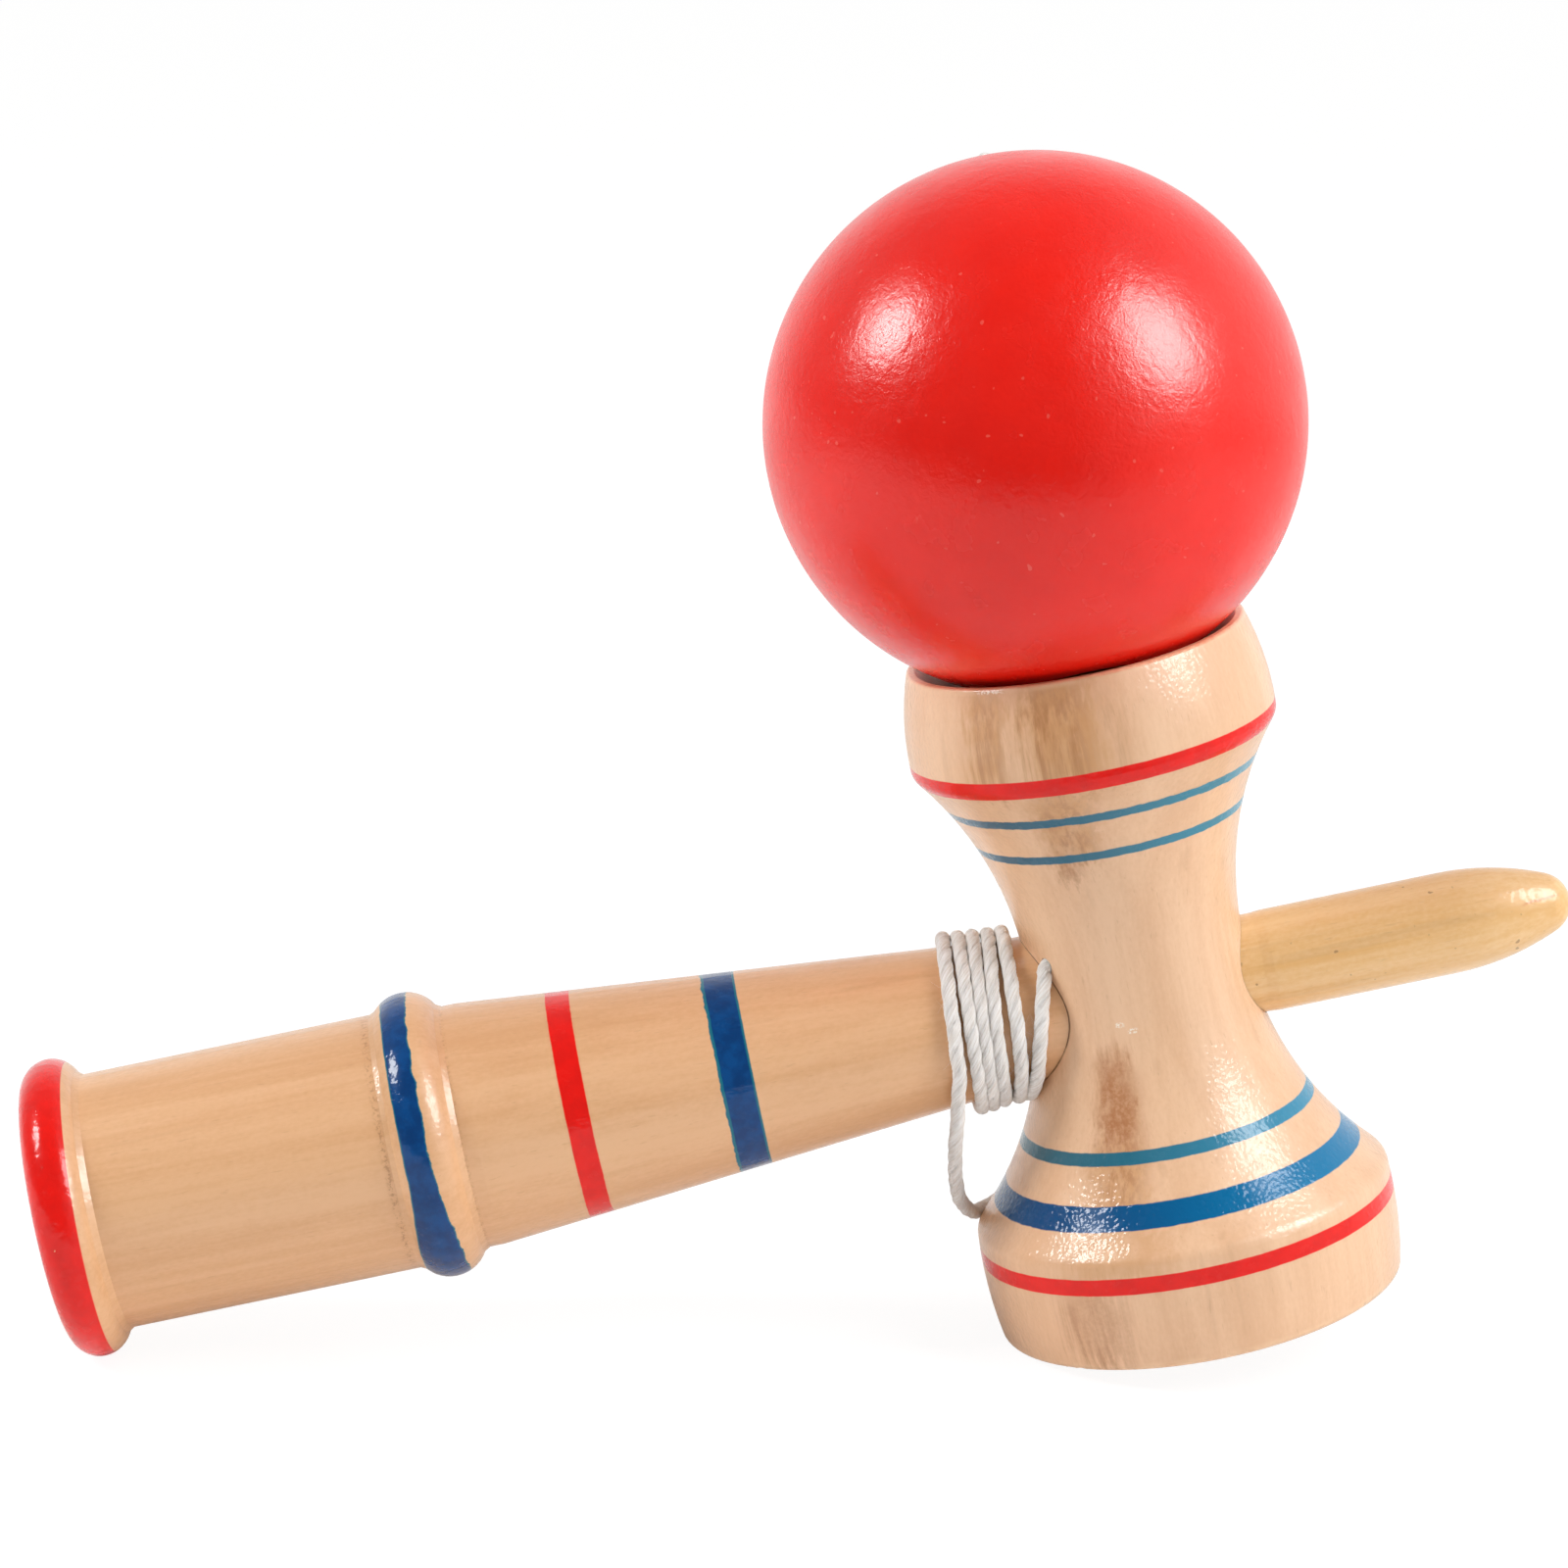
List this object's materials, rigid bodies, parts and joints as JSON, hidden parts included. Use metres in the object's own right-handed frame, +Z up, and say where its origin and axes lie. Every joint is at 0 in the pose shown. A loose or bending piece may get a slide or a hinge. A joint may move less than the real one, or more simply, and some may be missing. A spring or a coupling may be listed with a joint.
{
  "type": "cup and ball toy",
  "caption": "Wooden cup and ball toy: turned handle, two-cup crosspiece, spike and a bored ball tied on by a cord.",
  "frame": {"origin": "on the floor under the middle of the wooden parts' box, with the toy lying as pictured", "axes": "+Z up from the floor, +X level along the toy's length towards the spike, +Y away from the viewer"},
  "size_m": [0.1743, 0.0613, 0.1351],
  "materials": {
    "handle_wood": "satin",
    "crosspiece_wood": "satin",
    "spike_wood": "satin",
    "ball_lacquer": "gloss",
    "bead_wood": "satin",
    "cord_cotton": "matte"
  },
  "bodies": {
    "ken": {"handle": "handle_wood", "crosspiece": "crosspiece_wood", "spike": "spike_wood", "cord_winding": "cord_cotton", "cord_free": "cord_cotton"},
    "cord_end": {"bead": "bead_wood", "cord_knot": "cord_cotton"},
    "ball": {"ball": "ball_lacquer"}
  },
  "joints": [
    {"name": "ball_lift", "type": "slide", "parent": "ken", "child": "cord_end", "axis": [0, 0, 1], "range_m": [0, 0.06], "deforming": ["cord_free"]},
    {"name": "ball_spin", "type": "hinge", "parent": "cord_end", "child": "ball", "pos_m": [0.02619, 0, 0.10518], "axis": [-0.186, 0.342, 0.9211], "continuous": true}
  ]
}
